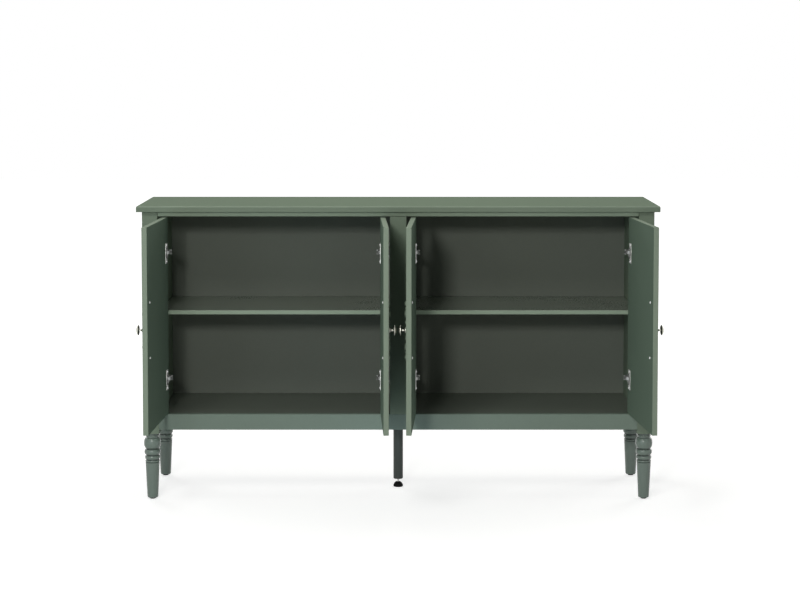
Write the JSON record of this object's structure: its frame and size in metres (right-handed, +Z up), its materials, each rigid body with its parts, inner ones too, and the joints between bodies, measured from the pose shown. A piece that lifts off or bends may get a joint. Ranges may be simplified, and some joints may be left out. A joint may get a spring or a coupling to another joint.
{
  "type": "buffet cabinet",
  "caption": "Painted buffet cabinet on turned legs: swinging doors with concealed hinges, metal knobs on carved plates, shelved compartments and a levelling centre leg.",
  "frame": {"origin": "on the floor under the middle of the carcass, at the bottom of the levelling foot", "axes": "+X to the right seen from the front, +Y to the back, +Z up"},
  "size_m": [1.52, 0.6816, 0.866],
  "materials": {
    "sage_paint": "satin sage-green paint",
    "back_board": "matt painted board",
    "plain_wood": "bare beech",
    "pale_metal": "polished, slightly warm",
    "nickel": "nickel plated",
    "zinc_steel": "zinc plated",
    "black_plastic": "matt black"
  },
  "bodies": {
    "carcass": {"top_board": "sage_paint", "sub_top_panel": "sage_paint", "leg_front_left": "sage_paint", "leg_front_right": "sage_paint", "leg_back_left": "sage_paint", "leg_back_right": "sage_paint", "side_panel_left": "sage_paint", "side_panel_right": "sage_paint", "bottom_panel": "sage_paint", "front_apron": "sage_paint", "back_apron": "sage_paint", "centre_stile": "sage_paint", "partition_board_left": "sage_paint", "partition_board_right": "sage_paint", "shelf_left": "sage_paint", "shelf_right": "sage_paint", "centre_leg": "sage_paint", "back_panel_left": "back_board", "back_panel_right": "back_board", "carcass_dowels": "plain_wood", "hinge_plates": "nickel", "hinge_arms": "nickel", "hinge_pins": "nickel", "arm_screws": "nickel", "shelf_pins": "nickel", "centre_leg_insert": "nickel", "panel_screws": "zinc_steel", "top_screws": "zinc_steel", "centre_leg_plate": "zinc_steel", "leg_glides": "black_plastic"},
    "door_1": {"door_1_panel": "sage_paint", "door_1_knob": "pale_metal", "door_1_carving": "sage_paint", "door_1_carving_screws": "zinc_steel", "door_1_hinge_cups": "nickel", "door_1_cup_screws": "zinc_steel"},
    "door_1_links": {"door_1_hinge_links": "nickel"},
    "door_2": {"door_2_panel": "sage_paint", "door_2_knob": "pale_metal", "door_2_carving": "sage_paint", "door_2_carving_screws": "zinc_steel", "door_2_hinge_cups": "nickel", "door_2_cup_screws": "zinc_steel"},
    "door_2_links": {"door_2_hinge_links": "nickel"},
    "door_3": {"door_3_panel": "sage_paint", "door_3_knob": "pale_metal", "door_3_carving": "sage_paint", "door_3_carving_screws": "zinc_steel", "door_3_hinge_cups": "nickel", "door_3_cup_screws": "zinc_steel"},
    "door_3_links": {"door_3_hinge_links": "nickel"},
    "door_4": {"door_4_panel": "sage_paint", "door_4_knob": "pale_metal", "door_4_carving": "sage_paint", "door_4_carving_screws": "zinc_steel", "door_4_hinge_cups": "nickel", "door_4_cup_screws": "zinc_steel"},
    "door_4_links": {"door_4_hinge_links": "nickel"},
    "foot": {"levelling_foot": "black_plastic", "levelling_screw": "nickel"}
  },
  "joints": [
    {"name": "door_1_swing", "type": "hinge", "parent": "carcass", "child": "door_1", "pos_m": [-0.687, -0.1775, 0.544], "axis": [0, 0, -1], "range_deg": [-92.8, 1.5]},
    {"name": "door_1_links_fold", "type": "hinge", "parent": "carcass", "child": "door_1_links", "pos_m": [-0.664, -0.1565, 0.544], "axis": [0, 0, 1], "range_deg": [-48.66, 1.28]},
    {"name": "door_2_swing", "type": "hinge", "parent": "carcass", "child": "door_2", "pos_m": [-0.037, -0.1775, 0.544], "axis": [0, 0, 1], "range_deg": [-92, 0]},
    {"name": "door_2_links_fold", "type": "hinge", "parent": "carcass", "child": "door_2_links", "pos_m": [-0.06, -0.1565, 0.544], "axis": [0, 0, -1], "range_deg": [-48.25, 0.5]},
    {"name": "door_3_swing", "type": "hinge", "parent": "carcass", "child": "door_3", "pos_m": [0.037, -0.1775, 0.544], "axis": [0, 0, -1], "range_deg": [-92.7, 0]},
    {"name": "door_3_links_fold", "type": "hinge", "parent": "carcass", "child": "door_3_links", "pos_m": [0.06, -0.1565, 0.544], "axis": [0, 0, 1], "range_deg": [-48.61, 0.5]},
    {"name": "door_4_swing", "type": "hinge", "parent": "carcass", "child": "door_4", "pos_m": [0.687, -0.1775, 0.544], "axis": [0, 0, 1], "range_deg": [-94.8, 0]},
    {"name": "door_4_links_fold", "type": "hinge", "parent": "carcass", "child": "door_4_links", "pos_m": [0.664, -0.1565, 0.544], "axis": [0, 0, -1], "range_deg": [-49.7, 0.5]},
    {"name": "foot_height", "type": "slide", "parent": "carcass", "child": "foot", "axis": [0, 0, 1], "range_m": [0, 0.007]}
  ],
  "couplings": [
    {"joint": "door_1_links_fold", "follows": "door_1_swing", "ratio": 0.519},
    {"joint": "door_2_links_fold", "follows": "door_2_swing", "ratio": 0.519},
    {"joint": "door_3_links_fold", "follows": "door_3_swing", "ratio": 0.519},
    {"joint": "door_4_links_fold", "follows": "door_4_swing", "ratio": 0.519}
  ]
}
